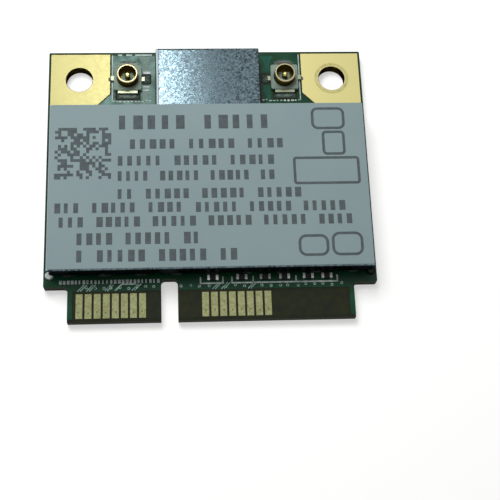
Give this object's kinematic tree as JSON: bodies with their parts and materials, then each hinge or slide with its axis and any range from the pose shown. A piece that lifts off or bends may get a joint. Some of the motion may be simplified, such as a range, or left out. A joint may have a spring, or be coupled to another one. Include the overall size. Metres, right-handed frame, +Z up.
{
  "type": "laptop wireless network card",
  "caption": "Half-length mini card for a laptop: a green board with a keyed gold edge tab, a folded T-shaped metal shield under a label, coaxial antenna sockets and screw holes.",
  "frame": {"origin": "on the board's underside, under the middle of the card's length and width", "axes": "+X along the card's width, towards the wide half of the tab; +Y from the edge tab to the screw-hole end; +Z up through the component side"},
  "size_m": [0.03, 0.0268, 0.0031],
  "materials": {
    "solder_mask_board": "semi-gloss green solder mask over glass-epoxy laminate",
    "gold_plating": "thin gold over nickel, satin",
    "tinplate": "spangled tin-plated steel sheet",
    "solder": "bright tin solder",
    "label_film": "matte grey printed label",
    "socket_moulding": "pale grey liquid-crystal polymer",
    "socket_gold": "gold-plated phosphor bronze",
    "chip_epoxy": "black moulded epoxy",
    "chip_tin": "matte tin end caps and leads",
    "capacitor_ceramic": "sintered tan ceramic",
    "resistor_glaze": "black overglaze on alumina",
    "ferrite": "dark grey ferrite",
    "white_ceramic": "white alumina",
    "lid_metal": "nickel-plated lid"
  },
  "bodies": {
    "root": {"circuit_board": "solder_mask_board", "upper_contacts": "gold_plating", "lower_contacts": "gold_plating", "screw_land_left": "gold_plating", "screw_land_right": "gold_plating", "shield_frame": "tinplate", "shield_cover": "tinplate", "shield_solder": "solder", "label": "label_film", "antenna_base_left": "socket_moulding", "antenna_base_right": "socket_moulding", "antenna_shell_left": "socket_gold", "antenna_shell_right": "socket_gold", "antenna_pin_left": "socket_gold", "antenna_pin_right": "socket_gold", "antenna_solder_left": "solder", "antenna_solder_right": "solder", "line_chip_bodies": "resistor_glaze", "line_chip_ends": "chip_tin", "capacitor_bodies": "capacitor_ceramic", "capacitor_ends": "chip_tin", "resistor_bodies": "resistor_glaze", "resistor_ends": "chip_tin", "bulk_capacitor_bodies": "capacitor_ceramic", "bulk_capacitor_ends": "chip_tin", "power_inductor_core": "ferrite", "power_inductor_ends": "chip_tin", "band_filter_body": "white_ceramic", "band_filter_ends": "chip_tin", "balun_body": "white_ceramic", "balun_ends": "chip_tin", "wifi_chip": "chip_epoxy", "wifi_chip_terminals": "chip_tin", "power_amplifier": "chip_epoxy", "power_amplifier_terminals": "chip_tin", "memory_chip": "chip_epoxy", "memory_chip_leads": "chip_tin", "regulator": "chip_epoxy", "regulator_leads": "chip_tin", "antenna_switch": "chip_epoxy", "antenna_switch_leads": "chip_tin", "crystal_tray": "white_ceramic", "crystal_lid": "lid_metal"}
  },
  "joints": []
}
